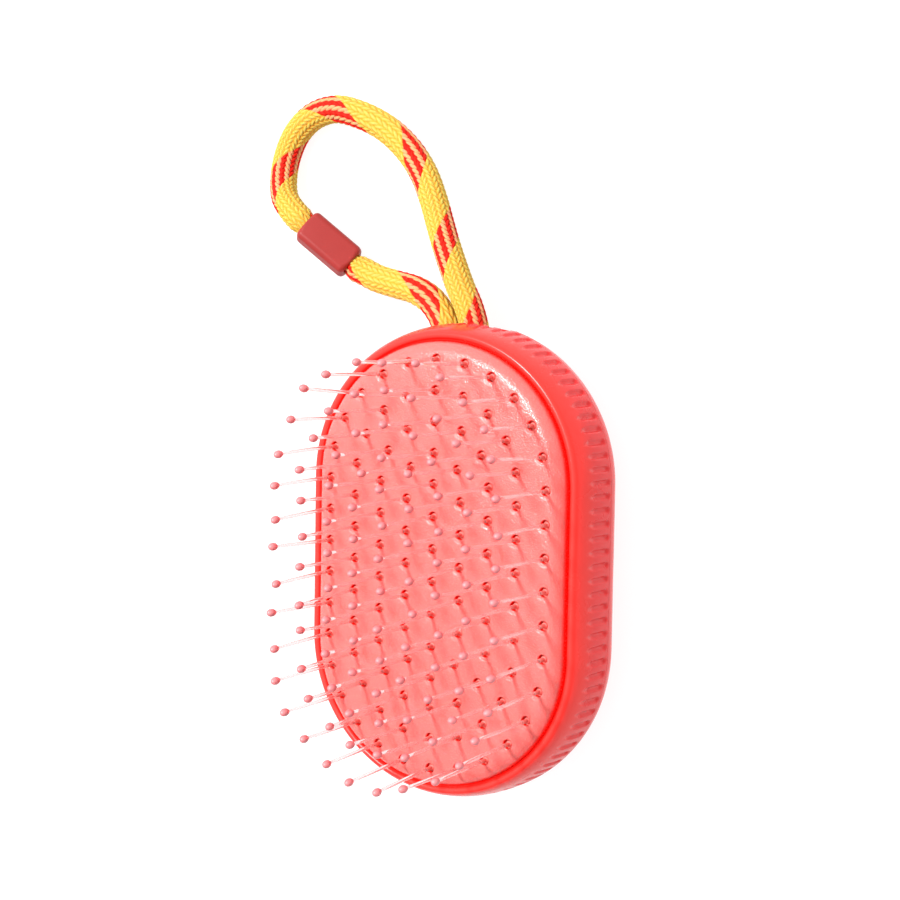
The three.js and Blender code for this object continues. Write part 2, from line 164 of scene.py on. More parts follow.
# Rope: 16 yarns turn one way round it and 16 the other way, each over two and under two.
ROPE_DIAMETER = 0.0066
YARNS_EACH_WAY = 16
TRACER_YARNS = 6
YARN_RISE = 0.00026
YARN_BULGE = 0.00036
STITCH_STEPS = 7
ROPE_SAMPLES = 1500
FILAMENTS_ACROSS_YARN = 5
ROPE_LONG_ROUTE = [
    (0.0026, 0.0419, 0.0105),
    (0.0017, 0.0465, 0.0105),
    (0.0006, 0.0519, 0.0105),
    (-0.0009, 0.0560, 0.0104),
    (-0.0029, 0.0598, 0.0103),
    (-0.0053, 0.0648, 0.0099),
    (-0.0076, 0.0696, 0.0092),
    (-0.0098, 0.0745, 0.0083),
    (-0.0123, 0.0800, 0.0072),
    (-0.0157, 0.0860, 0.0059),
    (-0.0204, 0.0916, 0.0048),
    (-0.0269, 0.0968, 0.0039),
    (-0.0344, 0.1005, 0.0035),
    (-0.0419, 0.1024, 0.0034),
    (-0.0482, 0.1011, 0.0034),
    (-0.0528, 0.0975, 0.0034),
    (-0.0553, 0.0928, 0.0036),
    (-0.0559, 0.0874, 0.0046),
    (-0.0543, 0.0821, 0.0064),
    (-0.0505, 0.0783, 0.0082),
    (-0.0475, 0.0759, 0.0086),
]
ROPE_SHORT_ROUTE = [
    (-0.0042, 0.0406, 0.0105),
    (-0.0051, 0.0452, 0.0105),
    (-0.0058, 0.0497, 0.0105),
    (-0.0075, 0.0535, 0.0103),
    (-0.0107, 0.0570, 0.0096),
    (-0.0156, 0.0595, 0.0082),
    (-0.0226, 0.0611, 0.0061),
    (-0.0290, 0.0626, 0.0045),
    (-0.0325, 0.0640, 0.0039),
    (-0.0350, 0.0651, 0.0040),
]

# Distances along the rope, from its holder end, at which the tracer band faces the front.
TRACER_PLACES = [0.0096, 0.0298, 0.0518, 0.0795, 0.1026, 0.1293, 0.1620]

# Ferrule.
FERRULE_LENGTH = 0.0142
FERRULE_WIDTH = 0.0084
FERRULE_DEPTH = 0.0068
FERRULE_BORE_RADIUS = 0.0026
FERRULE_MOUTH_RADIUS = 0.0028
FERRULE_EDGE_RADIUS = 0.0013
FERRULE_END_ROUNDING = 0.0012
FERRULE_END_FLAT = 0.0001
FERRULE_DRAFT = math.tan(math.radians(8))
FERRULE_CENTRE = Vector((-0.0413, 0.0704, 0.0064))
FERRULE_AXIS = Vector((0.715, -0.632, -0.300)).normalized()
FERRULE_TURN = math.radians(30)
FERRULE_PARTING = 0.00016
FERRULE_STEPS = 64
FERRULE_ROUTE_INSET = 0.0020
SQUEEZED_ROPE_RADIUS = 0.00255
SQUEEZE_START = 0.0008
SQUEEZE_LENGTH = 0.0030

# Bevel on the inner parts that keep their CAD meshes.
WORN_EDGE = 0.00012

# Painted shade: the wall's colour turns a darker red than the rim between these heights.
PAINTED_SHADE_Z = (0.0200, 0.0165)

# Painted glow: emission and a deeper red paint light into the groove and the pin holes, standing in
# for light that the soft plastics carry there.
GLOW_COLOUR = (1.0, 0.014, 0.008)
GROOVE_GLOW = 0.12
HOLE_GLOW = 0.08
GROOVE_GLOW_RADIUS = 0.0314
GROOVE_GLOW_Z = (0.0235, 0.0227)
EDGE_GLOW_Z = (PAD_TOP - 0.0019, PAD_TOP - 0.0031)
HOLES_END_RADIUS = 0.0281
HOLE_GLOW_DEPTHS = (0.0003, 0.0007)

# Camera and light.
CAMERA_PLACE = Vector((0.1774, 0.0471, 0.3217))
CAMERA_TARGET = Vector((-0.0041, 0.0240, 0.0120))
CAMERA_ROLL = math.radians(0.94)
CAMERA_LENS = 64.6
LIGHT_TARGET = Vector((0, 0.01, 0.02))
KEY_DIRECTION = Vector((-0.16, 0.33, 0.93))
KEY_DISTANCE = 0.90
KEY_SIZE = 0.12
KEY_POWER = 9.0
GLINT_DISTANCE = 0.88
GLINT_SIZE = 0.14
GLINT_POWER = 6.0
ROOM_COLOUR = (1.0, 0.985, 0.99)
ROOM_BRIGHT_SIDE = Vector((-0.30, 0.42, 0.86))
ROOM_DIM_TOWARDS = -0.3
ROOM_DIM = 0.02
ROOM_BRIGHT = 1.35
FLOOR_HALF_SIZE = 3
FLOOR_GLOW = 0.90


# ---- camera, light and floor

def make_camera():
    camera = bpy.data.objects.new("camera", bpy.data.cameras.new("camera"))
    back = (CAMERA_PLACE - CAMERA_TARGET).normalized()
    right = Vector((0, 1, 0)).cross(back).normalized()
    up = back.cross(right)
    turned = Matrix((right, up, back)).transposed() @ Matrix.Rotation(CAMERA_ROLL, 3, "Z")
    camera.matrix_world = Matrix.Translation(CAMERA_PLACE) @ turned.to_4x4()
    camera.data.lens = CAMERA_LENS
    camera.data.clip_start = 0.01
    camera.data.clip_end = 20
    bpy.context.scene.collection.objects.link(camera)
    bpy.context.scene.camera = camera


def make_disk_light(name, distance, size, power):
    """A round soft light on the key side, turned towards the brush."""
    lamp = bpy.data.lights.new(name, "AREA")
    lamp.shape = "DISK"
    lamp.size = size
    lamp.energy = power
    light = bpy.data.objects.new(name, lamp)
    away = KEY_DIRECTION.normalized()
    light.location = LIGHT_TARGET + away * distance
    light.rotation_mode = "QUATERNION"
    light.rotation_quaternion = (-away).to_track_quat("-Z", "Y")
    bpy.context.scene.collection.objects.link(light)
    return light


def make_glint_light():
    """A panel in front of the key, a little wider, that only shows in reflections."""
    panel = make_disk_light("glint_panel", GLINT_DISTANCE, GLINT_SIZE, GLINT_POWER)
    panel.visible_diffuse = False
    panel.visible_transmission = False


def make_world():
    """A white room, bright overhead and dim at the horizon. Past the floor a low view sees white."""
    world = bpy.data.worlds.new("studio")
    world.use_nodes = True
    nodes = Nodes(world.node_tree)
    way = nodes.node("ShaderNodeTexCoord", {}).outputs["Generated"]
    turned = nodes.node(
        "ShaderNodeVectorMath", {0: way, 1: ROOM_BRIGHT_SIDE}, operation="DOT_PRODUCT"
    ).outputs["Value"]
    room = nodes.node("ShaderNodeMapRange", {
        "Value": turned,
        "From Min": ROOM_DIM_TOWARDS,
        "To Min": ROOM_DIM,
        "To Max": ROOM_BRIGHT,
    }, interpolation_type="SMOOTHSTEP").outputs[0]
    seen = nodes.node("ShaderNodeLightPath", {}).outputs["Is Camera Ray"]
    background = nodes.tree.nodes["Background"]
    nodes.put(background.inputs["Strength"], nodes.math("MAXIMUM", room, seen))
    nodes.put(background.inputs["Color"], ROOM_COLOUR)
    bpy.context.scene.world = world


def make_floor():
    """A white light table, so that shadows on it stay faint."""
    bm = bmesh.new()
    bmesh.ops.create_grid(bm, x_segments=8, y_segments=8, size=FLOOR_HALF_SIZE)
    mesh = bpy.data.meshes.new("floor")
    bm.to_mesh(mesh)
    bm.free()
    floor = bpy.data.objects.new("floor", mesh)
    look = Look("floor_light_table")
    grain = look.noise(60, 3)
    look.shader_inputs({
        "Base Color": look.mix(grain, (0.20, 0.20, 0.20), (0.22, 0.22, 0.22)),
        "Roughness": 0.9,
        "Specular IOR Level": 0.1,
        "Emission Color": (1.0, 1.0, 1.0),
        "Emission Strength": FLOOR_GLOW,
    })
    mesh.materials.append(look.material)
    bpy.context.scene.collection.objects.link(floor)


# ---- material building

class Nodes:
    """A node tree being built: adds nodes, and links or sets what they are given."""

    def __init__(self, tree):
        self.tree = tree

    def put(self, socket, value):
        if isinstance(value, bpy.types.NodeSocket):
            self.tree.links.new(value, socket)
        elif hasattr(value, "__len__") and len(value) == 3 and socket.type == "RGBA":
            socket.default_value = (*value, 1)
        else:
            socket.default_value = value

    def node(self, kind, inputs, **settings):
        """A new node, with its settings, and with its inputs by name or by number."""
        made = self.tree.nodes.new(kind)
        for key, value in settings.items():
            setattr(made, key, value)
        for key, value in inputs.items():
            self.put(made.inputs[key], value)
        return made

    def math(self, operation, *values):
        return self.node("ShaderNodeMath", dict(enumerate(values)), operation=operation).outputs[0]


class Look(Nodes):
    """A material being built, in metres of the object's own space."""

    def __init__(self, name):
        self.material = bpy.data.materials.new(name)
        self.material.use_nodes = True
        super().__init__(self.material.node_tree)

    def shader_inputs(self, inputs):
        shader = self.tree.nodes["Principled BSDF"]
        for key, value in inputs.items():
            self.put(shader.inputs[key], value)

    def places(self):
        return self.node("ShaderNodeTexCoord", {}).outputs["Object"]

    def height(self):
        return self.node("ShaderNodeSeparateXYZ", {"Vector": self.places()}).outputs[2]

    def noise(self, scale, detail=2, roughness=0.5):
        inputs = {"Vector": self.places(), "Scale": scale, "Detail": detail, "Roughness": roughness}
        return self.node("ShaderNodeTexNoise", inputs).outputs["Fac"]

    def mix(self, share, low, high):
        inputs = {0: share, 6: low, 7: high}
        return self.node("ShaderNodeMix", inputs, data_type="RGBA").outputs[2]

    def pill_distance(self):
        """How far the place is from the pill's centre line, seen in plan."""
        parts = self.node("ShaderNodeSeparateXYZ", {"Vector": self.places()}).outputs
        beyond = self.math("SUBTRACT", self.math("ABSOLUTE", parts[1]), HALF_STRAIGHT)
        beyond = self.math("MAXIMUM", beyond, 0)
        squares = self.math("MULTIPLY", parts[0], parts[0])
        return self.math("SQRT", self.math("MULTIPLY_ADD", beyond, beyond, squares))

    def inside_pill(self, radius):
        return self.math("LESS_THAN", self.pill_distance(), radius)

    def deeper(self, depths):
        """0 above the first depth below the pad's crowned face, 1 below the second one."""
        share = self.math("MULTIPLY", self.pill_distance(), 1 / PAD_FLAT_RADIUS)
        share = self.math("MINIMUM", share, 1)
        crown = self.math("MULTIPLY", self.math("MULTIPLY", share, share), PAD_CROWN)
        depth = self.math("SUBTRACT", self.math("SUBTRACT", PAD_TOP, crown), self.height())
        return self.between(depth, depths[0], depths[1])

    def below(self, heights):
        """0 above the first height, 1 below the second one."""
        return self.between(self.height(), heights[1], heights[0], 1.0, 0.0)

    def between(self, value, low, high, to_low=0.0, to_high=1.0):
        ends = {"From Min": low, "From Max": high, "To Min": to_low, "To Max": to_high}
        return self.node("ShaderNodeMapRange", {"Value": value, **ends}).outputs[0]

    def bump(self, height, distance):
        inputs = {"Height": height, "Distance": distance}
        return self.node("ShaderNodeBump", inputs).outputs["Normal"]


# ---- materials

def shell_look():
    """Glossy coral plastic: slightly cloudy, with a faint mould grain. Painted shade darkens the wall
    below the rim, and the groove is painted a deeper red with a painted glow.
    """
    look = Look("shell_plastic")
    cloud = look.noise(45, 3)
    grain = look.noise(1800, 2)
    # painted glow: the groove is painted a deeper red and glows
    groove = look.math("MULTIPLY", look.inside_pill(GROOVE_GLOW_RADIUS), look.below(GROOVE_GLOW_Z))
    plain = look.mix(cloud, (0.94, 0.036, 0.029), (0.99, 0.044, 0.035))
    # painted shade: the wall is painted a darker red below the rim
    plain = look.mix(look.below(PAINTED_SHADE_Z), plain, (0.86, 0.030, 0.031))
    look.shader_inputs({
        "Base Color": look.mix(groove, plain, (0.90, 0.024, 0.018)),
        "Roughness": look.between(look.noise(160, 4), 0.3, 0.7, 0.20, 0.30),
        "Normal": look.bump(grain, 0.000012),
        "Specular IOR Level": 0.22,
        "Emission Color": GLOW_COLOUR,
        "Emission Strength": look.math("MULTIPLY", groove, GROOVE_GLOW),
    })
    return look.material


def cushion_look():
    """Satin rubber with a fine pebble grain; its holes and its edge are painted a deeper red with a
    painted glow.
    """
    look = Look("cushion_rubber")
    cloud = look.noise(70, 3)
    pebbles = look.noise(2600, 1, 0.6)
    # painted glow: the pad's edge and its pin holes are painted a deeper red and glow
    holes = look.inside_pill(HOLES_END_RADIUS)
    edge = look.math("MULTIPLY", look.math("SUBTRACT", 1, holes), look.below(EDGE_GLOW_Z))
    hole = look.math("MULTIPLY", holes, look.deeper(HOLE_GLOW_DEPTHS))
    deep = look.math("ADD", edge, hole)
    glow = look.math("MULTIPLY_ADD", hole, HOLE_GLOW, look.math("MULTIPLY", edge, GROOVE_GLOW))
    plain = look.mix(cloud, (0.92, 0.154, 0.139), (0.95, 0.172, 0.156))
    look.shader_inputs({
        "Base Color": look.mix(deep, plain, (0.90, 0.02, 0.012)),
        "Roughness": look.between(pebbles, 0.3, 0.7, 0.17, 0.30),
        "Normal": look.bump(pebbles, 0.00010),
        "Specular IOR Level": 0.34,
        "Subsurface Weight": 0.5,
        "Subsurface Radius": (0.0026, 0.0006, 0.0004),
        "Subsurface Scale": 1.0,
        "Emission Color": GLOW_COLOUR,
        "Emission Strength": glow,
    })
    return look.material


def pin_look():
    """Clear pink nylon: the balls and the feet deeper pink and cloudy. The shafts are painted paler up
    towards the balls, a painted stand-in for clear nylon washed out by light, and the balls get
    painted shade towards their outlines.
    """
    look = Look("pin_nylon")
    cloud = look.noise(220, 2)
    ball = look.between(look.height(), *BALL_LOOK_Z)
    # painted paleness: the shaft is painted near white up towards the ball
    slim = look.between(look.height(), *SHAFT_LOOK_Z)
    foot = look.below(FOOT_LOOK_Z)
    # painted shade: the balls are painted darker towards their outlines
    edge = look.node("ShaderNodeLayerWeight", {"Blend": 0.45}).outputs["Facing"]
    low = look.mix(cloud, (1.0, 0.60, 0.58), (1.0, 0.68, 0.66))
    low = look.mix(foot, low, (0.92, 0.21, 0.18))
    shaft = look.mix(slim, low, (1.0, 0.90, 0.90))
    tip = look.mix(cloud, (0.93, 0.29, 0.30), (0.97, 0.35, 0.36))
    tip = look.mix(edge, tip, (0.70, 0.10, 0.12))
    clear = look.between(ball, 0.0, 1.0, 0.86, 0.14)
    polish = look.between(look.noise(900, 2), 0.3, 0.7, 0.05, 0.11)
    polish = look.math("MULTIPLY_ADD", foot, 0.35, polish)
    look.shader_inputs({
        "Base Color": look.mix(ball, shaft, tip),
        "Roughness": look.math("MULTIPLY_ADD", ball, 0.28, polish),
        "Specular IOR Level": 0.6,
        "Normal": look.bump(look.noise(1500, 2), 0.000008),
        "IOR": 1.38,
        "Transmission Weight": look.math("SUBTRACT", clear, look.math("MULTIPLY", foot, 0.84)),
    })
    return look.material


def ferrule_look():
    """Satin dusty-red plastic with a fine spark-eroded grain."""
    look = Look("ferrule_plastic")
    cloud = look.noise(120, 3)
    grain = look.noise(4200, 3)
    look.shader_inputs({
        "Base Color": look.mix(cloud, (0.31, 0.031, 0.028), (0.36, 0.041, 0.037)),
        "Roughness": look.between(grain, 0.3, 0.7, 0.36, 0.48),
        "Normal": look.bump(grain, 0.000018),
        "Specular IOR Level": 0.14,
    })
    return look.material


def inner_plastic_look():
    """The coral inner mouldings, with flow marks."""
    look = Look("inner_plastic")
    flow = look.noise(130, 4)
    look.shader_inputs({
        "Base Color": look.mix(flow, (0.80, 0.09, 0.075), (0.86, 0.12, 0.10)),
        "Roughness": look.between(flow, 0.3, 0.7, 0.42, 0.6),
        "Normal": look.bump(look.noise(2200, 2), 0.00002),
    })
    return look.material


def steel_look():
    """Drawn steel with fine lines round its axis."""
    look = Look("steel")
    stretched = look.node("ShaderNodeMapping", {"Vector": look.places(), "Scale": (1, 1, 24)})
    lines = look.node(
        "ShaderNodeTexNoise", {"Vector": stretched.outputs[0], "Scale": 260, "Detail": 3}
    ).outputs["Fac"]
    look.shader_inputs({
        "Base Color": look.mix(lines, (0.50, 0.51, 0.53), (0.66, 0.67, 0.69)),
        "Metallic": 1.0,
        "Roughness": look.between(lines, 0.3, 0.7, 0.25, 0.45),
        "Normal": look.bump(lines, 0.00001),
    })
    return look.material


def crossing_yarns(look, around, right, left):
    """Height of the yarn on top, and whether it is one of those that turn right."""
    def bulge(turns):
        offset = look.math("MULTIPLY_ADD", look.math("FRACT", turns), 2, -1)
        inside = look.math("SUBTRACT", 1, look.math("MULTIPLY", offset, offset))
        return look.math("SQRT", look.math("MAXIMUM", inside, 0))

    wave = look.math("COSINE", look.math("MULTIPLY", look.math("SUBTRACT", around, 0.75), math.pi))
    rise = look.math("MULTIPLY", wave, YARN_RISE / YARN_BULGE)
    right_top = look.math("ADD", bulge(right), rise)
    left_top = look.math("SUBTRACT", bulge(left), rise)
    return look.math("MAXIMUM", right_top, left_top), look.math("GREATER_THAN", right_top, left_top)


def yarn_colour(look, top, right, right_shows):
    """Painted shade by yarn height: amber in the crevices, yellow on the crests, and the red yarns
    painted darker low. The tracer band has red yarns, crossed by peach ones whose ends are painted red
    as a painted reflection of the red yarns beside them.
    """
    in_band = look.math("LESS_THAN", look.math("WRAP", right, YARNS_EACH_WAY, 0), TRACER_YARNS)
    # painted shade: colour by yarn height, amber in the crevices and yellow on the crests
    height = look.between(top, 0.7, 1.7)
    plain = look.mix(height, (0.80, 0.30, 0.012), (0.60, 0.50, 0.10))
    # painted reflection: peach stitches turn red towards their ends, as if lit by the red yarns beside
    # them
    peach = look.mix(look.between(top, 0.72, 1.2), (0.66, 0.02, 0.008), (0.74, 0.36, 0.16))
    red = look.mix(height, (0.52, 0.004, 0.002), (0.72, 0.014, 0.003))
    return look.mix(right_shows, look.mix(in_band, plain, peach), look.mix(in_band, plain, red))


def braid_look():
    """Two sets of yarns that cross. The UV map counts yarns: U round the rope, V along it."""
    look = Look("rope_braid")
    uv = look.node("ShaderNodeUVMap", {}, uv_map="yarns").outputs["UV"]
    parts = look.node("ShaderNodeSeparateXYZ", {"Vector": uv})
    around, along = parts.outputs[0], parts.outputs[1]
    right = look.math("SUBTRACT", around, along)
    left = look.math("ADD", around, along)
    top, right_shows = crossing_yarns(look, around, right, left)

    turns = look.node("ShaderNodeMix", {0: right_shows, 2: left, 3: right}, data_type="FLOAT")
    waves = 2 * math.pi * FILAMENTS_ACROSS_YARN
    filaments = look.math("SINE", look.math("MULTIPLY", turns.outputs[0], waves))
    fuzz = look.noise(5200, 2)
    look.shader_inputs({
        "Base Color": yarn_colour(look, top, right, right_shows),
        "Roughness": look.between(fuzz, 0.3, 0.7, 0.5, 0.75),
        "Normal": look.bump(look.math("MULTIPLY_ADD", filaments, 0.4, fuzz), 0.00003),
        "Specular IOR Level": 0.12,
        "Subsurface Weight": 0.3,
        "Subsurface Radius": (0.0004, 0.0002, 0.0001),
        "Subsurface Scale": 1.0,
    })
    return look.material


# ---- mesh helpers

def grid_faces(columns, rows, close_rows):
    """Quads of a grid whose columns run round in a closed loop; its rows may close as well."""
    faces = []
    for i in range(columns):
        here = i * rows
        there = (i + 1) % columns * rows
        for j in range(rows if close_rows else rows - 1):
            k = (j + 1) % rows
            faces.append((here + j, there + j, there + k, here + k))
    return faces


class Body:
    """Vertices and faces gathered from several shapes, which become one piece."""

    def __init__(self):
        self.vertices = []
        self.faces = []

    def add(self, vertices, faces):
        start = len(self.vertices)
        self.vertices.extend(tuple(map(float, v)) for v in vertices)
        self.faces.extend(tuple(start + k for k in face) for face in faces)

    def add_ring(self, grid, close_rows):
        """A grid of columns by rows by 3, closed round its columns."""
        columns, rows, _ = grid.shape
        self.add(grid.reshape(-1, 3), grid_faces(columns, rows, close_rows))

    def piece(self, name, material, body, slot, replaced, sharp):
        mesh = bpy.data.meshes.new(name)
        mesh.from_pydata(self.vertices, [], self.faces)
        bm = bmesh.new()
        bm.from_mesh(mesh)
        bmesh.ops.remove_doubles(bm, verts=bm.verts, dist=1e-7)
        bmesh.ops.dissolve_degenerate(bm, dist=1e-8, edges=bm.edges)
        bmesh.ops.recalc_face_normals(bm, faces=bm.faces)
        bm.to_mesh(mesh)
        bm.free()
        return add_piece(name, mesh, material, body, replaced, sharp)


def add_piece(name, mesh, material, body, replaced, sharp):
    """Puts a mesh on a body of the frame. Edges over the sharp angle stay crisp."""
    mesh.shade_smooth()
    mesh.set_sharp_from_angle(angle=math.radians(sharp))
    mesh.materials.append(material)
    piece = bpy.data.objects.new(name, mesh)
    bpy.context.scene.collection.objects.link(piece)
    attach(piece, body)
    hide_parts(*replaced)
    return piece


def pill_columns(arc_steps, straight_steps):
    """The direction and the place on the centre line of each column round a pill."""
    turn = np.arange(arc_steps) * math.pi / arc_steps
    run = np.arange(straight_steps) / straight_steps * 2 * HALF_STRAIGHT
    angle = np.concatenate([
        turn, np.full(straight_steps, math.pi), turn + math.pi, np.full(straight_steps, 2 * math.pi)
    ])
    along = np.concatenate([
        np.full(arc_steps, HALF_STRAIGHT), HALF_STRAIGHT - run, np.full(arc_steps, -HALF_STRAIGHT),
        run - HALF_STRAIGHT,
    ])
    return angle, along


def pill_grid(columns, radius, height):
    """A profile carried round the pill; radius and height are rows, or columns by rows."""
    angle, along = columns
    shape = (len(angle), np.shape(radius)[-1])
    radius = np.broadcast_to(radius, shape)
    x = radius * np.cos(angle)[:, None]
    y = radius * np.sin(angle)[:, None] + along[:, None]
    return np.stack([x, y, np.broadcast_to(height, shape)], axis=-1)


def quarter(centre, size, start, end, steps):
    """Radii and heights along part of an ellipse, by angle in degrees."""
    angle = np.radians(np.linspace(start, end, steps + 1))
    return centre[0] + size[0] * np.cos(angle), centre[1] + size[1] * np.sin(angle)


def circle_points(centre, radius, steps):
    angle = np.arange(steps) * 2 * math.pi / steps
    return np.stack([centre[0] + radius * np.cos(angle), centre[1] + radius * np.sin(angle)], axis=1)


def collar(body, outline, hole, bottom, top):
    """A flat-ended block with a hole through it; both outlines have as many points."""
    rings = [(outline, bottom), (outline, top), (hole, top), (hole, bottom)]
    grid = np.stack([
        np.column_stack([points, np.full(len(points), height)]) for points, height in rings
    ], axis=1)
    body.add_ring(grid, close_rows=True)


def tube(body, place, outside, inside, bottom, top):
    collar(body, circle_points(place, outside, 32), circle_points(place, inside, 32), bottom, top)


def slot_reach(x):
    """How far above and below the seam the rope's slot is open, at x in the +Y end."""
    corner = SLOT_HEIGHT / 2
    past = np.clip(np.abs(x) - (SLOT_WIDTH / 2 - corner), 0, corner)
    return np.sqrt(corner ** 2 - past ** 2)


def seam_edge(columns, radius):
    """Half the gap between the shells at each column: a hairline, opened by the rope's slot."""
    angle, along = columns
    x = radius * np.cos(angle)
    in_slot = (along + radius * np.sin(angle) > HALF_STRAIGHT) & (np.abs(x) < SLOT_WIDTH / 2)
    return np.where(in_slot, np.maximum(slot_reach(x), SEAM_GAP / 2), SEAM_GAP / 2)


# ---- shells

def wall_radius(z):
    """Outside of the front shell above its widest height: part of an ellipse."""
    rise = np.clip((z - WIDEST_Z) / (RIM_TOP - WIDEST_Z), -1, 1)
    return RIM_RADIUS + (BODY_RADIUS - RIM_RADIUS) * np.sqrt(1 - rise ** 2)


def flute_depth(across, z):
    """How deep the flutes cut below the wall. Across runs from -1 to 1 between two ridges.
    A flute starts as a point under the rim, soon has its full depth, and closes at the seam."""
    above = FLUTE_SHARPNESS * (FLUTE_TOP_Z - z) / (FLUTE_TOP_Z - FLUTE_DEEPEST_Z)
    below = (z - FLUTE_BOTTOM_Z) / FLUTE_CLOSING
    run = np.clip(np.minimum(above, below), -1, 1)
    share = np.sin(run * math.pi / 2)
    depth = FLUTE_DEPTH * (share * np.abs(share) - FLUTE_FILL * across ** 2)
    soft = (depth + np.sqrt(depth ** 2 + FLUTE_SOFTNESS ** 2)) / 2
    near = np.clip((run + 0.3) / 0.3, 0, 1)
    return soft * near


def wall_heights(edge):
    """Heights of the outer wall's rows: even down the flutes, then by even turns up to the rim."""
    share = np.linspace(0, 1, FLUTE_ROWS, endpoint=False)
    low = edge[:, None] + (FLUTE_ROWS_TOP_Z - edge)[:, None] * share
    rise = RIM_TOP - WIDEST_Z
    start = math.asin((FLUTE_ROWS_TOP_Z - WIDEST_Z) / rise)
    high = WIDEST_Z + rise * np.sin(np.linspace(start, math.pi / 2, RIM_ROWS))
    return np.hstack([low, np.broadcast_to(high, (len(edge), RIM_ROWS))])


def rim_inside():
    """Radii and heights down inside the rim: a fillet, the groove's ledge, and the pad's lip."""
    fillet = RIM_RADIUS - RIM_INNER_RADIUS
    radius, height = quarter((RIM_RADIUS, RIM_TOP - fillet), (fillet, fillet), 90, 180, 8)
    ledge_radius = [RIM_INNER_RADIUS, GROOVE_INNER_RADIUS, GROOVE_INNER_RADIUS, RIM_INNER_RADIUS]
    ledge_depth = np.array([0, LEDGE_BEVEL, LEDGE_THICKNESS - LEDGE_BEVEL, LEDGE_THICKNESS])
    radius = np.concatenate([radius[1:], ledge_radius, [RIM_INNER_RADIUS, WALL_INNER_RADIUS]])
    height = np.concatenate([height[1:], GROOVE_Z - ledge_depth, [LIP_Z, LIP_Z]])
    return radius, height


def front_shell(material):
    """The rim and the fluted wall in one ring, with what is moulded inside."""
    columns = pill_columns(FLUTES_ROUND_END * FLUTE_STEPS, FLUTES_ALONG_SIDE * FLUTE_STEPS)
    count = len(columns[0])
    across = 2 * ((np.arange(count) % FLUTE_STEPS) / FLUTE_STEPS) - 1
    edge = SEAM_Z + seam_edge(columns, BODY_RADIUS)
    outer_z = wall_heights(edge)
    outer_radius = wall_radius(outer_z) - flute_depth(across[:, None], outer_z)
    inner_radius, inner_z = rim_inside()
    spread = np.ones((count, 1))
    radius = np.hstack([outer_radius, spread * inner_radius, spread * WALL_INNER_RADIUS])
    height = np.hstack([outer_z, spread * inner_z, edge[:, None]])
    shell = Body()
    shell.add_ring(pill_grid(columns, radius, height), close_rows=True)
    add_lugs(shell)
    add_pivot_shelf(shell)
    shell.piece("front_shell_fluted", material, "brush_body", "shell_red", ["front_shell"], 34)


def add_lugs(shell):
    """Screw lugs for the pin plate, at 45 degrees in the round ends."""
    reach = LUG_DISTANCE * math.sqrt(0.5)
    for x_side in (-1, 1):
        for y_side in (-1, 1):
            place = (x_side * reach, y_side * (HALF_STRAIGHT + reach))
            tube(shell, place, LUG_RADIUS, LUG_HOLE_RADIUS, LUG_BOTTOM_Z, LUG_TOP_Z)


def add_pivot_shelf(shell):
    """The shelf that holds the upper end of the rope's pivot pin."""
    hole = circle_points((0, PIVOT_Y), PIVOT_HOLE_RADIUS, 32)
    way = (hole - (0, PIVOT_Y)) / PIVOT_HOLE_RADIUS
    outward = HALF_STRAIGHT + WALL_INNER_RADIUS + OVERLAP - PIVOT_Y
    limit_y = np.where(way[:, 1] > 0, outward, SHELF_INWARD)
    stretch = np.minimum(
        SHELF_HALF_WIDTH / np.maximum(np.abs(way[:, 0]), 1e-9),
        limit_y / np.maximum(np.abs(way[:, 1]), 1e-9),
    )
    outline = (0, PIVOT_Y) + way * stretch[:, None]
    collar(shell, outline, hole, SHELF_BOTTOM_Z, SHELF_TOP_Z)


def back_cover(material):
    """The rounded back: a bowl with a flat floor, a tongue inside the seam, and the pin's boss."""
    columns = pill_columns(120, 36)
    count = len(columns[0])
    edge = SEAM_Z - seam_edge(columns, BODY_RADIUS)
    out = BODY_RADIUS - BACK_FLAT_RADIUS
    end_angle = np.arcsin((edge - WIDEST_Z) / WIDEST_Z)
    share = np.linspace(0, 1, 26)
    angle = -math.pi / 2 + (end_angle + math.pi / 2)[:, None] * share
    outer_radius = BACK_FLAT_RADIUS + out * np.cos(angle)
    outer_z = WIDEST_Z + WIDEST_Z * np.sin(angle)

    inner_size = (TONGUE_INNER_RADIUS - BACK_FLAT_RADIUS, WIDEST_Z - COVER_THICKNESS)
    bowl_radius, bowl_z = quarter((BACK_FLAT_RADIUS, WIDEST_Z), inner_size, 0, -90, 10)
    inner_radius = np.concatenate([
        [TONGUE_OUTER_RADIUS, TONGUE_OUTER_RADIUS, TONGUE_INNER_RADIUS], bowl_radius, [0.0]
    ])
    inner_z = np.concatenate([[SEAM_Z, TONGUE_TOP_Z, TONGUE_TOP_Z], bowl_z, [COVER_THICKNESS]])
    in_slot = edge < SEAM_Z - SEAM_GAP
    top = np.where(in_slot, edge, TONGUE_TOP_Z)
    spread = np.ones((count, 1))
    radius = np.hstack([spread * 0.0, outer_radius, spread * inner_radius])
    height = np.hstack([spread * 0.0, outer_z, np.minimum(spread * inner_z, top[:, None])])
    cover = Body()
    cover.add_ring(pill_grid(columns, radius, height), close_rows=False)
    tube(cover, (0, PIVOT_Y), BOSS_RADIUS, PIVOT_HOLE_RADIUS, BOSS_BOTTOM_Z, BOSS_TOP_Z)
    cover.piece("back_cover_smooth", material, "brush_body", "shell_red", ["back_cover"], 34)


# ---- cushion

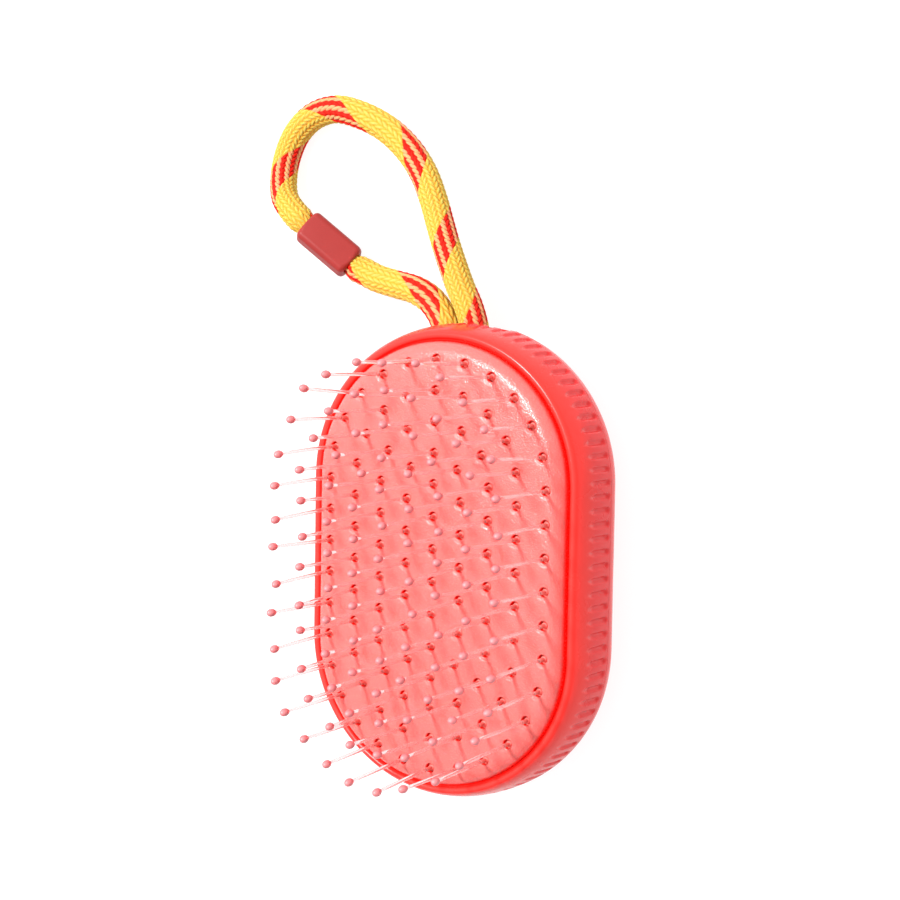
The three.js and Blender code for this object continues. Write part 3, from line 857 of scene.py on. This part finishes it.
def pin_places(row):
    """Plan places of one row's pins. Rows take turns to start half a pitch later."""
    pitch = 2 * HALF_STRAIGHT / STRAIGHT_PITCHES
    if row == 0:
        return [(0.0, HALF_STRAIGHT - i * pitch) for i in range(STRAIGHT_PITCHES + 1)]
    arc_steps = 3 * row
    offset = 0.5 if row % 2 else 0.0
    radius = row * ROW_SPACING
    places = []
    for side in (1, -1):
        for i in range(arc_steps + STRAIGHT_PITCHES):
            step = i + offset
            if step <= arc_steps:
                angle = math.pi * step / arc_steps
                place = (radius * math.cos(angle), HALF_STRAIGHT + radius * math.sin(angle))
            else:
                place = (-radius, HALF_STRAIGHT - (step - arc_steps) * pitch)
            places.append((side * place[0], side * place[1]))
    return places


def pill_distance(points):
    """How far points lie from the pill's centre line."""
    along = np.clip(points[:, 1], -HALF_STRAIGHT, HALF_STRAIGHT)
    return np.hypot(points[:, 0], points[:, 1] - along)


def hole_distance(points, places):
    return np.linalg.norm(points[:, None] - np.array(places)[None], axis=2).min(axis=1)


def face_height(points, places):
    """Height of the pad's face: a slight crown, a round shoulder, and a dimple round each pin."""
    radius = pill_distance(points)
    crown = PAD_CROWN * np.minimum(radius / PAD_FLAT_RADIUS, 1) ** 2
    out = np.clip((radius - PAD_FLAT_RADIUS) / (PAD_SKIRT_RADIUS - PAD_FLAT_RADIUS), 0, 1)
    shoulder = (PAD_TOP - PAD_CROWN - PAD_SHOULDER_Z) * (1 - np.sqrt(1 - out ** 2))
    slope = (DIMPLE_INNER_RADIUS, DIMPLE_RADIUS)
    share = np.interp(hole_distance(points, places), slope, (0.0, 1.0))
    inside = np.interp(radius, DIMPLES_END, (1.0, 0.0))
    dimple = DIMPLE_DEPTH / 2 * (1 + np.cos(math.pi * share)) * inside
    return PAD_TOP - crown - shoulder - dimple


def sheet_with_holes(columns, radius, places, hole_radius, extra):
    """Plan points and triangles of a pill-shaped sheet with a round hole at each place, without
    the triangles whose middles lie in a hole."""
    points = [Vector(p) for p in pill_grid(columns, np.array([radius]), 0.0)[:, 0, :2]]
    edges = [(i, (i + 1) % len(points)) for i in range(len(points))]
    for place in places:
        start = len(points)
        points.extend(Vector(p) for p in circle_points(place, hole_radius, HOLE_STEPS))
        edges.extend((start + i, start + (i + 1) % HOLE_STEPS) for i in range(HOLE_STEPS))
    points.extend(Vector(p) for p in extra)
    found, _, faces, *_ = delaunay_2d_cdt(points, edges, [], 1, 1e-9)
    found = np.array([tuple(p) for p in found])
    middles = np.array([found[list(face)].mean(axis=0) for face in faces])
    gaps = hole_distance(middles, places)
    return found, [face for face, gap in zip(faces, gaps) if gap > hole_radius * 0.98]


def face_points(columns, places):
    """Extra plan points of the face: rings in each dimple, and lines round the shoulder."""
    ring_radii = np.linspace(DIMPLE_INNER_RADIUS, DIMPLE_RADIUS, DIMPLE_RINGS)
    rings = [circle_points(place, radius, HOLE_STEPS) for place in places for radius in ring_radii]
    radii = np.linspace(SHOULDER_LINES_FROM, PAD_EDGE_RADIUS, SHOULDER_LINES, endpoint=False)
    lines = pill_grid(columns, radii, 0.0)[:, :, :2].reshape(-1, 2)
    clear = hole_distance(lines, places) > DIMPLE_RADIUS + DIMPLE_CLEARANCE
    return np.vstack(rings + [lines[clear]])


def add_hole(pad, place, places):
    """A pin hole: a rounded lip, and a wall down to the underside."""
    mouth = circle_points(place, PIN_HOLE_RADIUS + HOLE_LIP, HOLE_STEPS)
    mouth_z = face_height(mouth, places)
    rings = []
    for degrees in (0, 30, 60, 90):
        turn = math.radians(degrees)
        points = circle_points(place, PIN_HOLE_RADIUS + HOLE_LIP * (1 - math.sin(turn)), HOLE_STEPS)
        rings.append(np.column_stack([points, mouth_z - HOLE_LIP * (1 - math.cos(turn))]))
    foot = circle_points(place, PIN_HOLE_RADIUS, HOLE_STEPS)
    rings.append(np.column_stack([foot, np.full(HOLE_STEPS, PAD_UNDERSIDE)]))
    pad.add_ring(np.stack(rings, axis=1), close_rows=False)


def add_pad_edge(pad, columns):
    """The pad's edge: round shoulder, skirt, the flange under the shell's lip, and the hollow."""
    shoulder = (PAD_SKIRT_RADIUS - PAD_FLAT_RADIUS, PAD_TOP - PAD_CROWN - PAD_SHOULDER_Z)
    start = math.degrees(math.acos((PAD_EDGE_RADIUS - PAD_FLAT_RADIUS) / shoulder[0]))
    outer_radius, outer_z = quarter((PAD_FLAT_RADIUS, PAD_SHOULDER_Z), shoulder, start, 0, 8)
    skirt_inner = PAD_SKIRT_RADIUS - PAD_SKIRT_THICKNESS
    hollow = (skirt_inner - PAD_UNDERSIDE_RADIUS, PAD_UNDERSIDE - PAD_SHOULDER_Z)
    hollow_radius, hollow_z = quarter((PAD_UNDERSIDE_RADIUS, PAD_SHOULDER_Z), hollow, 0, 90, 6)
    flange_top = LIP_Z - PAD_LIP_GAP
    radius = np.concatenate([
        outer_radius, [PAD_SKIRT_RADIUS, PAD_FLANGE_RADIUS, PAD_FLANGE_RADIUS, skirt_inner],
        hollow_radius,
    ])
    height = np.concatenate([
        outer_z, [flange_top, flange_top, PAD_FLANGE_BOTTOM, PAD_FLANGE_BOTTOM], hollow_z,
    ])
    pad.add_ring(pill_grid(columns, radius, height), close_rows=False)


def cushion(material):
    """The pad: its face, its pin holes, its underside and its edge."""
    places = [place for row in range(ROW_COUNT + 1) for place in pin_places(row)]
    columns = pill_columns(72, 24)
    pad = Body()
    mouth = PIN_HOLE_RADIUS + HOLE_LIP
    extra = face_points(columns, places)
    found, faces = sheet_with_holes(columns, PAD_EDGE_RADIUS, places, mouth, extra)
    pad.add(np.column_stack([found, face_height(found, places)]), faces)
    for place in places:
        add_hole(pad, place, places)
    found, faces = sheet_with_holes(columns, PAD_UNDERSIDE_RADIUS, places, PIN_HOLE_RADIUS, [])
    pad.add(np.column_stack([found, np.full(len(found), PAD_UNDERSIDE)]), faces)
    add_pad_edge(pad, columns)
    made = pad.piece("cushion_face", material, "brush_body", "cushion_rubber", ["cushion_pad"], 50)


# ---- pins

def pin_profile(base_top):
    """Radii and heights up a pin: a base in its hole, a slim taper, and an egg-shaped ball."""
    ball_z = PIN_TOP - BALL_HALF_LENGTH
    meet = math.asin(PIN_NECK_RADIUS / BALL_RADIUS)
    angle = np.linspace(math.pi - meet, 0, 14)
    ball_radius = BALL_RADIUS * np.sin(angle)
    ball_height = ball_z + BALL_HALF_LENGTH * np.cos(angle)
    neck_z = ball_height[0]
    shaft_z = np.linspace(base_top, neck_z, 9)[:-1]
    shaft_radius = np.interp(shaft_z, [base_top, neck_z], [PIN_FOOT_RADIUS, PIN_NECK_RADIUS])
    turn = np.radians(np.linspace(0, 80, 6))
    base_radius = PIN_BASE_RADIUS - PIN_BASE_ROUNDING * (1 - np.cos(turn))
    base_z = base_top - PIN_BASE_ROUNDING * (1 - np.sin(turn))
    root = ([0.0, PIN_BASE_RADIUS], [PIN_ROOT_Z, PIN_ROOT_Z])
    radius = np.concatenate([root[0], base_radius, shaft_radius, ball_radius[:-1], [0.0]])
    height = np.concatenate([root[1], base_z, shaft_z, ball_height[:-1], [PIN_TOP]])
    return radius, height


def add_pin(body, place, lean):
    """A pin whose tip has wandered a little. The top of its base follows the pad's crown."""
    out = min(pill_distance(np.array([place]))[0] / PAD_FLAT_RADIUS, 1)
    radius, height = pin_profile(PAD_TOP - PAD_CROWN * out ** 2 - PIN_BASE_DEPTH)
    angle = np.arange(PIN_SIDES) * 2 * math.pi / PIN_SIDES
    share = ((height - PIN_ROOT_Z) / (PIN_TOP - PIN_ROOT_Z)) ** 1.5
    x = place[0] + np.outer(np.cos(angle), radius) + lean[0] * share
    y = place[1] + np.outer(np.sin(angle), radius) + lean[1] * share
    grid = np.stack([x, y, np.broadcast_to(height, x.shape)], axis=-1)
    body.add_ring(grid, close_rows=False)


def strip_profile():
    """The section of a strip: across it and up, once round."""
    half = STRIP_WIDTH / 2
    inner = half - STRIP_BEVEL
    low = STRIP_BOTTOM
    top = STRIP_BOTTOM + STRIP_HEIGHT
    shoulder = top - STRIP_BEVEL
    across = np.array([-half, inner, half, half, inner, -inner, -half])
    return across, np.array([low, low, low + STRIP_BEVEL, shoulder, top, top, shoulder])


def pin_row(row, chance, material):
    """One row of pins, on the strip that joins their roots."""
    name = "pin_row_centre" if row == 0 else f"pin_ring_{row}"
    across, up = strip_profile()
    body = Body()
    columns = pill_columns(30, 8)
    if row == 0:
        kept = across > 0
        radius = np.concatenate([[0.0], across[kept], [0.0]])
        height = np.concatenate([[up[0]], up[kept], [up[-2]]])
        body.add_ring(pill_grid(columns, radius, height), close_rows=False)
    else:
        body.add_ring(pill_grid(columns, row * ROW_SPACING + across, up), close_rows=True)
    for place in pin_places(row):
        lean = (chance.gauss(0, PIN_WANDER), chance.gauss(0, PIN_WANDER))
        add_pin(body, place, lean)
    body.piece(f"{name}_pins", material, "brush_body", "pin_nylon", [name], 50)


# ---- rope

def catmull_rom(points, steps):
    """A centripetal Catmull-Rom line through the points."""
    points = np.array(points, float)
    ends = np.vstack([2 * points[0] - points[1], points, 2 * points[-1] - points[-2]])
    line = []
    for a, b, c, d in zip(ends, ends[1:], ends[2:], ends[3:]):
        t1 = np.linalg.norm(b - a) ** 0.5
        t2 = t1 + np.linalg.norm(c - b) ** 0.5
        t3 = t2 + np.linalg.norm(d - c) ** 0.5
        t = np.linspace(t1, t2, steps, endpoint=False)[:, None]
        ab = ((t1 - t) * a + t * b) / t1
        bc = ((t2 - t) * b + (t - t1) * c) / (t2 - t1)
        cd = ((t3 - t) * c + (t - t2) * d) / (t3 - t2)
        abc = ((t2 - t) * ab + t * bc) / t2
        bcd = ((t3 - t) * bc + (t - t1) * cd) / (t3 - t1)
        line.append(((t2 - t) * abc + (t - t1) * bcd) / (t2 - t1))
    line.append(ends[-2][None])
    return np.vstack(line)


def resampled(rows, run, place):
    """Rows of three values, known along a line, worked out at other places along it."""
    return np.stack([np.interp(place, run, rows[:, k]) for k in range(3)], axis=1)


def respaced(line, count):
    """Even distances along a line, and its points there."""
    run = np.concatenate([[0.0], np.cumsum(np.linalg.norm(np.diff(line, axis=0), axis=1))])
    even = np.linspace(0, run[-1], count)
    return even, resampled(line, run, even)


def carried_frames(line, run):
    """A direction across the line at each point, carried along without twist, and a second."""
    tangent = np.gradient(line, run, axis=0)
    tangent /= np.linalg.norm(tangent, axis=1)[:, None]
    across = np.zeros_like(line)
    direction = np.array([0.0, 0.0, 1.0])
    for i, t in enumerate(tangent):
        direction = direction - (direction @ t) * t
        direction /= np.linalg.norm(direction)
        across[i] = direction
    return across, np.cross(tangent, across)


def yarn_count(run, line, across, beside):
    """V of the braid's UV map along the rope: it makes the tracer band face the front at its
    places, and is evened out between them."""
    to_front = np.array(CAMERA_PLACE) - line
    facing = np.unwrap(np.arctan2((to_front * beside).sum(axis=1), (to_front * across).sum(axis=1)))
    places = np.array(TRACER_PLACES)
    whole_turns = np.arange(len(places))
    turns = np.interp(places, run, facing) / (2 * math.pi) + whole_turns
    rate = np.diff(turns) / np.diff(places)
    middle = (places[1:] + places[:-1]) / 2
    smooth_rate = np.interp(run, middle, rate)
    count = np.concatenate([[0.0], np.cumsum((smooth_rate[1:] + smooth_rate[:-1]) / 2 * np.diff(run))])
    error = turns - np.interp(places, run, count)
    return YARNS_EACH_WAY * (count + np.interp(run, places, error)) - TRACER_YARNS / 2


def yarn_height(around, along):
    """Height of the upper yarn above the rope's core."""
    def bulge(turns):
        return YARN_BULGE * np.sqrt(np.maximum(1 - (2 * (turns % 1.0) - 1) ** 2, 0))
    rise = YARN_RISE * np.cos(math.pi * (around - 0.75))
    return np.maximum(bulge(around - along) + rise, bulge(around + along) - rise)


def squeeze(run, centre):
    """Radius of the rope's crests: pinched inside the ferrule, full a little beyond it."""
    beyond = np.abs(run - centre) - FERRULE_LENGTH / 2
    share = np.clip((beyond + SQUEEZE_START) / SQUEEZE_LENGTH, 0, 1)
    share = share * share * (3 - 2 * share)
    return SQUEEZED_ROPE_RADIUS + (ROPE_DIAMETER / 2 - SQUEEZED_ROPE_RADIUS) * share


def rope_line():
    """The whole rope's centre line: the long stretch, the ferrule, and the short stretch back."""
    half = FERRULE_AXIS * (FERRULE_LENGTH / 2 - FERRULE_ROUTE_INSET)
    inside = [tuple(FERRULE_CENTRE - half), tuple(FERRULE_CENTRE), tuple(FERRULE_CENTRE + half)]
    return catmull_rom(ROPE_LONG_ROUTE + inside + ROPE_SHORT_ROUTE[::-1], 30)


def braid_surface():
    """The braid's points as columns round it by rows along it; each row's point on the centre
    line and its yarn count; and the rope's length."""
    run, line = respaced(rope_line(), ROPE_SAMPLES)
    across, beside = carried_frames(line, run)
    count = yarn_count(run, line, across, beside)
    first = math.ceil(count[0] * STITCH_STEPS)
    last = math.floor(count[-1] * STITCH_STEPS)
    along = np.arange(first, last + 1) / STITCH_STEPS
    place = np.interp(along, count, run)
    centres = resampled(line, run, place)
    normal = resampled(across, run, place)
    side = resampled(beside, run, place)

    around = np.arange(YARNS_EACH_WAY * STITCH_STEPS) / STITCH_STEPS
    angle = around * 2 * math.pi / YARNS_EACH_WAY
    ferrule_run = run[np.linalg.norm(line - np.array(FERRULE_CENTRE), axis=1).argmin()]
    height = yarn_height(around[:, None], along[None, :])
    sunk = (YARN_RISE + YARN_BULGE - height) / (ROPE_DIAMETER / 2)
    radius = squeeze(place, ferrule_run)[None, :] * (1 - sunk)
    way = np.cos(angle)[:, None, None] * normal + np.sin(angle)[:, None, None] * side
    return centres[None] + way * radius[:, :, None], centres, along, run[-1]


def braided_rope(material):
    """The braid, with a cap of triangles at each end."""
    grid, centres, along, length = braid_surface()
    columns, rows, _ = grid.shape
    faces = grid_faces(columns, rows, close_rows=False)
    hub = columns * rows
    caps = []
    for i in range(columns):
        here, there = i * rows, (i + 1) % columns * rows
        caps.append((here, hub, there))
        caps.append((there + rows - 1, hub + 1, here + rows - 1))
    vertices = np.vstack([grid.reshape(-1, 3), centres[0], centres[-1]])
    mesh = bpy.data.meshes.new("braided_rope")
    mesh.from_pydata(vertices.tolist(), [], faces + caps)
    map_yarns(mesh, along, rows, len(faces))
    stands_for = ["rope_long", "rope_short"]
    piece = add_piece("braided_rope", mesh, material, "hang_loop", stands_for, 180)
    return piece, centres, length


def map_yarns(mesh, along, rows, quads):
    """The UV map that counts yarns. Each quad's corners are (i, j), (i+1, j), (i+1, j+1), (i, j+1)."""
    uv = np.zeros((len(mesh.loops), 2))
    i, j = np.divmod(np.arange(quads), rows - 1)
    for corner, (di, dj) in enumerate(((0, 0), (1, 0), (1, 1), (0, 1))):
        uv[corner:quads * 4:4, 0] = (i + di) / STITCH_STEPS
        uv[corner:quads * 4:4, 1] = along[j + dj]
    layer = mesh.uv_layers.new(name="yarns")
    layer.data.foreach_set("uv", uv.ravel())


# ---- ferrule

def ferrule_matrix():
    """Local X is the ferrule's axis, local Z looks out of its wide face."""
    across = Vector((0, 0, 1)).cross(FERRULE_AXIS).normalized()
    up = Matrix.Rotation(-FERRULE_TURN, 3, FERRULE_AXIS) @ FERRULE_AXIS.cross(across)
    turned = Matrix((FERRULE_AXIS, up.cross(FERRULE_AXIS), up)).transposed()
    return Matrix.Translation(FERRULE_CENTRE) @ turned.to_4x4()


def box_section(angle, half_width, half_depth, corner):
    """Points of a rectangle with round corners, by the direction they are seen in."""
    flat = np.stack([np.cos(angle), np.sin(angle)], axis=1)
    core = np.array([half_width - corner, half_depth - corner])
    reach = np.zeros(len(angle))
    for i, way in enumerate(np.abs(flat)):
        low, high = 0.0, 2 * (half_width + half_depth)
        for _ in range(50):
            middle = (low + high) / 2
            outside = np.maximum(way * middle - core, 0)
            low, high = (middle, high) if outside @ outside < corner ** 2 else (low, middle)
        reach[i] = low
    return flat * reach[:, None]


def ferrule_rows(length):
    """Rows of points along a ferrule half, as places on its axis and reaches from it: out of the
    flared mouth, round the end's edge, and the same at the other end."""
    half = FERRULE_LENGTH / 2
    flare = FERRULE_MOUTH_RADIUS - FERRULE_BORE_RADIUS
    rounding = np.minimum(FERRULE_END_ROUNDING, length - FERRULE_MOUTH_RADIUS - FERRULE_END_FLAT)
    turn = np.radians(np.linspace(0, 90, 9))
    even = np.ones(len(length))
    rows = []
    for bend in turn[::2]:
        reach = FERRULE_BORE_RADIUS + flare * (1 - math.cos(bend))
        rows.append((even * (half - 3 * flare * (1 - math.sin(bend))), even * reach))
    for bend in turn[::-1]:
        rows.append((half - rounding * (1 - math.sin(bend)), length - rounding * (1 - math.cos(bend))))
    return rows + [(-place, reach) for place, reach in reversed(rows)]


def ferrule_half(name, side, material):
    """One half of the ferrule: profiles from one parting face round to the other one."""
    edge_angle = math.asin(FERRULE_PARTING / FERRULE_WIDTH)
    angle = np.linspace(edge_angle, math.pi - edge_angle, FERRULE_STEPS)
    outer = box_section(angle, FERRULE_WIDTH / 2, FERRULE_DEPTH / 2, FERRULE_EDGE_RADIUS)
    outer[:, 0] *= 1 - FERRULE_DRAFT * outer[:, 1] / (FERRULE_WIDTH / 2)
    length = np.linalg.norm(outer, axis=1)
    way = outer / length[:, None]
    rows = ferrule_rows(length)
    count = len(rows)
    grid = np.zeros((FERRULE_STEPS, count, 3))
    for k, (place, reach) in enumerate(rows):
        grid[:, k, 0] = place
        grid[:, k, 1] = way[:, 0] * reach
        grid[:, k, 2] = np.maximum(way[:, 1] * reach, FERRULE_PARTING / 2) * side
    faces = grid_faces(FERRULE_STEPS, count, close_rows=True)[:-count]
    faces.append(tuple(range(count)))
    faces.append(tuple((FERRULE_STEPS - 1) * count + k for k in range(count)))
    to_world = ferrule_matrix()
    body = Body()
    body.add([to_world @ Vector(v) for v in grid.reshape(-1, 3)], faces)
    return body.piece(f"{name}_half", material, "hang_loop", "ferrule_plastic", [name], 35)


# ---- inner parts kept from the CAD

def dress_cad_node(name, material):
    """Gives a node that keeps its CAD mesh a material and worn edges."""
    node = frame["nodes"][name]
    node.data.materials.clear()
    node.data.materials.append(material)
    bevel = node.modifiers.new("worn edges", "BEVEL")
    bevel.width = WORN_EDGE
    bevel.segments = 2
    bevel.limit_method = "ANGLE"
    bevel.angle_limit = math.radians(40)


# ---- the scene

make_camera()
make_world()
make_floor()
make_disk_light("key", KEY_DISTANCE, KEY_SIZE, KEY_POWER)
make_glint_light()

rope, rope_path, rope_length = braided_rope(braid_look())
ferrule_plastic = ferrule_look()
ferrule_pieces = [
    ferrule_half("ferrule_front", 1, ferrule_plastic),
    ferrule_half("ferrule_back", -1, ferrule_plastic),
]

shell_plastic = shell_look()
front_shell(shell_plastic)
back_cover(shell_plastic)
cushion(cushion_look())
pin_nylon = pin_look()
pin_chance = random.Random(11)
for pin_row_number in range(ROW_COUNT + 1):
    pin_row(pin_row_number, pin_chance, pin_nylon)

inner_plastic = inner_plastic_look()
for inner_name in ("pin_plate", "rope_holder"):
    dress_cad_node(inner_name, inner_plastic)
steel = steel_look()
for steel_name in ("pivot_pin", *(f"plate_screw_{number}" for number in (1, 2, 3, 4))):
    dress_cad_node(steel_name, steel)

bpy.context.scene.view_settings.view_transform = "Standard"
